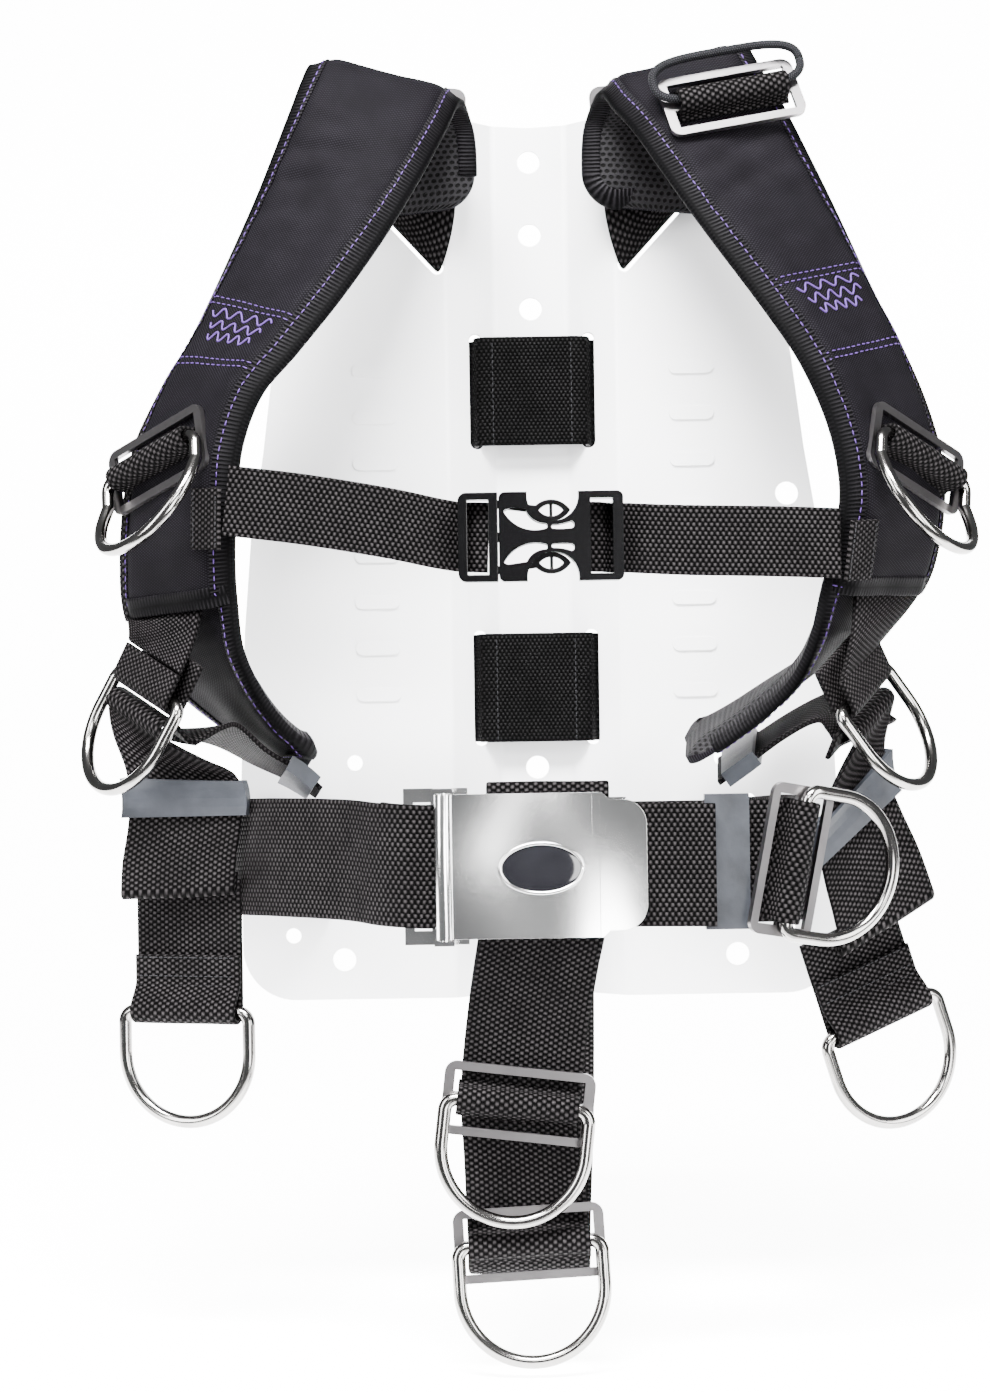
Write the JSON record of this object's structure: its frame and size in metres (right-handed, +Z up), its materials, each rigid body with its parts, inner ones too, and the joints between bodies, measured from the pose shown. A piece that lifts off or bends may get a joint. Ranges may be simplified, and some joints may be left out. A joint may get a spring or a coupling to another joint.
{
  "type": "technical diving harness",
  "caption": "Bent steel backplate with padded shoulder straps, waist belt with a cam buckle, chest strap, crotch strap, D rings and two tank bands; the harness part of a buoyancy compensator.",
  "frame": {"origin": "midway between the two tank bolt holes, on the tank side face of the plate's crown", "axes": "+Z up along the plate, +Y towards the tank, -Y towards the diver's chest, +X to the diver's left"},
  "size_m": [0.3895, 0.3796, 0.5642],
  "materials": {
    "painted_plate": "very pale satin powder coat",
    "black_inlay": "blank domed gloss inlay",
    "brushed_steel": "brushed stainless",
    "polished_steel": "polished stainless wire",
    "satin_steel": "flat satin stainless",
    "black_acetal": "moulded satin acetal",
    "grey_rubber": "cut inner tube, scuffed",
    "spacer_foam": "open-hole spacer mesh over foam",
    "black_cordura": "coarse nylon twill with bound edges",
    "elastic_cord": "braided shock cord",
    "black_webbing": "ribbed polyester webbing"
  },
  "bodies": {
    "root": {"backplate": "painted_plate", "upper_tank_band": "black_webbing", "upper_band_pin": "brushed_steel", "upper_band_buckle": "brushed_steel", "lower_tank_band": "black_webbing", "lower_band_pin": "brushed_steel", "lower_band_buckle": "brushed_steel", "right_shoulder_pad": "spacer_foam", "right_pad_sleeve": "black_cordura", "right_shoulder_webbing": "black_webbing", "right_shoulder_slider": "satin_steel", "right_back_slider": "satin_steel", "right_adjuster_webbing": "black_webbing", "right_adjuster_keeper": "grey_rubber", "right_hip_webbing": "black_webbing", "right_hip_keeper": "grey_rubber", "left_shoulder_pad": "spacer_foam", "left_pad_sleeve": "black_cordura", "left_shoulder_webbing": "black_webbing", "left_shoulder_slider": "satin_steel", "left_back_slider": "satin_steel", "left_adjuster_webbing": "black_webbing", "left_adjuster_keeper": "grey_rubber", "left_hip_webbing": "black_webbing", "left_hip_keeper": "grey_rubber", "inflator_slider": "satin_steel", "inflator_webbing": "black_webbing", "inflator_loop": "elastic_cord", "right_chest_strap": "black_webbing", "left_chest_strap": "black_webbing", "right_chest_tab": "black_webbing", "left_chest_tab": "black_webbing", "chest_buckle_socket": "black_acetal", "right_waist_belt": "black_webbing", "left_waist_belt": "black_webbing", "waist_slider": "satin_steel", "waist_keeper": "grey_rubber", "waist_buckle_frame": "brushed_steel", "waist_buckle_pin": "brushed_steel", "crotch_strap": "black_webbing", "crotch_upper_slider": "satin_steel", "crotch_lower_slider": "satin_steel"},
    "right_shoulder_ring": {"right_shoulder_ring": "polished_steel"},
    "right_hip_ring": {"right_hip_ring": "polished_steel"},
    "right_pull": {"right_pull_strap": "black_webbing"},
    "right_pull_ring": {"right_pull_ring": "polished_steel"},
    "left_shoulder_ring": {"left_shoulder_ring": "polished_steel"},
    "left_hip_ring": {"left_hip_ring": "polished_steel"},
    "left_pull": {"left_pull_strap": "black_webbing"},
    "left_pull_ring": {"left_pull_ring": "polished_steel"},
    "waist_ring": {"waist_ring": "polished_steel"},
    "crotch_upper_ring": {"crotch_upper_ring": "polished_steel"},
    "crotch_lower_ring": {"crotch_lower_ring": "polished_steel"},
    "waist_flap": {"waist_buckle_flap": "brushed_steel", "waist_buckle_badge": "black_inlay"},
    "upper_lever": {"upper_band_lever": "black_acetal"},
    "lower_lever": {"lower_band_lever": "black_acetal"},
    "chest_plug": {"chest_buckle_plug": "black_acetal"}
  },
  "joints": [
    {"name": "right_shoulder_ring_swing", "type": "hinge", "parent": "root", "child": "right_shoulder_ring", "pos_m": [-0.16586, -0.105, -0.00198], "axis": [-0.7067, 0.6325, -0.3172], "range_deg": [0, 120]},
    {"name": "right_hip_ring_swing", "type": "hinge", "parent": "root", "child": "right_hip_ring", "pos_m": [-0.167, -0.112, -0.1005], "axis": [-0.516, 0.8, 0.306], "range_deg": [0, 110]},
    {"name": "right_pull_swing", "type": "hinge", "parent": "root", "child": "right_pull", "pos_m": [-0.154, -0.106, -0.183], "axis": [-0.9326, 0.361, 0], "range_deg": [-10, 45]},
    {"name": "right_pull_ring_swing", "type": "hinge", "parent": "right_pull", "child": "right_pull_ring", "pos_m": [-0.154, -0.106, -0.24], "axis": [-0.9326, 0.361, 0], "range_deg": [-100, 100]},
    {"name": "left_shoulder_ring_swing", "type": "hinge", "parent": "root", "child": "left_shoulder_ring", "pos_m": [0.16713, -0.10456, -0.00648], "axis": [-0.6851, -0.6323, 0.3617], "range_deg": [0, 120]},
    {"name": "left_hip_ring_swing", "type": "hinge", "parent": "root", "child": "left_hip_ring", "pos_m": [0.138, -0.112, -0.106], "axis": [-0.4211, -0.8321, -0.3609], "range_deg": [0, 110]},
    {"name": "left_pull_swing", "type": "hinge", "parent": "root", "child": "left_pull", "pos_m": [0.133, -0.102, -0.208], "axis": [-0.8564, -0.3983, -0.3286], "range_deg": [-10, 45]},
    {"name": "left_pull_ring_swing", "type": "hinge", "parent": "left_pull", "child": "left_pull_ring", "pos_m": [0.14551, -0.09616, -0.24767], "axis": [-0.8564, -0.3983, -0.3286], "range_deg": [-100, 100]},
    {"name": "waist_ring_swing", "type": "hinge", "parent": "root", "child": "waist_ring", "pos_m": [0.1017, -0.19148, -0.17552], "axis": [-0.1903, 0, -0.9817], "range_deg": [0, 110]},
    {"name": "crotch_upper_ring_swing", "type": "hinge", "parent": "root", "child": "crotch_upper_ring", "pos_m": [-0.0125, -0.182, -0.273], "axis": [-0.9929, 0, 0.1191], "range_deg": [0, 110]},
    {"name": "crotch_lower_ring_swing", "type": "hinge", "parent": "root", "child": "crotch_lower_ring", "pos_m": [-0.00853, -0.17616, -0.33033], "axis": [-0.9988, 0, -0.0499], "range_deg": [0, 110]},
    {"name": "waist_flap_open", "type": "hinge", "parent": "root", "child": "waist_flap", "pos_m": [-0.041, -0.1972, -0.175], "axis": [0, 0, -1], "range_deg": [0, 140]},
    {"name": "upper_lever_open", "type": "hinge", "parent": "root", "child": "upper_lever", "pos_m": [0.08705, 0.0675, 0.0333], "axis": [0, 0, -1], "range_deg": [0, 110]},
    {"name": "lower_lever_open", "type": "hinge", "parent": "root", "child": "lower_lever", "pos_m": [0.08705, 0.0675, -0.1028], "axis": [0, 0, -1], "range_deg": [0, 110]},
    {"name": "chest_plug_release", "type": "slide", "parent": "root", "child": "chest_plug", "axis": [-1, 0, 0], "range_m": [0, 0.03], "deforming": ["right_chest_strap"]}
  ]
}
